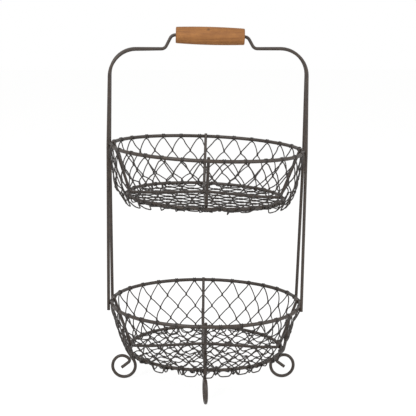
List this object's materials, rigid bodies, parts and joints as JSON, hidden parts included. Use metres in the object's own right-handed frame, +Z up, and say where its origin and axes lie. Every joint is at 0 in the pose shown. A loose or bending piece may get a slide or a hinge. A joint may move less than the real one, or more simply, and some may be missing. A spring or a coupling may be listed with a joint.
{
  "type": "tiered wire basket",
  "caption": "Tiered round wire netting basket on looped wire feet, carried by a bent wire handle with a turned wooden grip that spins.",
  "frame": {"origin": "on the surface that the feet stand on, below the middle of the handle", "axes": "+Z up, the handle spans X, the front of the basket faces -Y"},
  "size_m": [0.259, 0.253, 0.4614],
  "materials": {
    "frame_wire": "dark brown lacquered steel wire, low sheen",
    "netting_wire": "dark brown lacquered thin wire, low sheen",
    "grip_wood": "turned hardwood, thin satin varnish"
  },
  "bodies": {
    "frame": {"handle_wire_front": "frame_wire", "handle_wire_rear": "frame_wire", "upper_rim": "frame_wire", "upper_floor_ring": "frame_wire", "upper_side_rib": "frame_wire", "upper_cross_rib": "frame_wire", "upper_wall_netting": "netting_wire", "upper_floor_netting": "netting_wire", "lower_rim": "frame_wire", "lower_floor_ring": "frame_wire", "lower_side_rib": "frame_wire", "lower_cross_rib": "frame_wire", "lower_wall_netting": "netting_wire", "lower_floor_netting": "netting_wire", "foot_left": "frame_wire", "foot_right": "frame_wire", "foot_front": "frame_wire", "foot_rear": "frame_wire"},
    "grip": {"wooden_grip": "grip_wood"}
  },
  "joints": [
    {"name": "grip_spin", "type": "hinge", "parent": "frame", "child": "grip", "pos_m": [0.0034, 0, 0.4497], "axis": [0.9996, 0, -0.0279], "continuous": true}
  ]
}
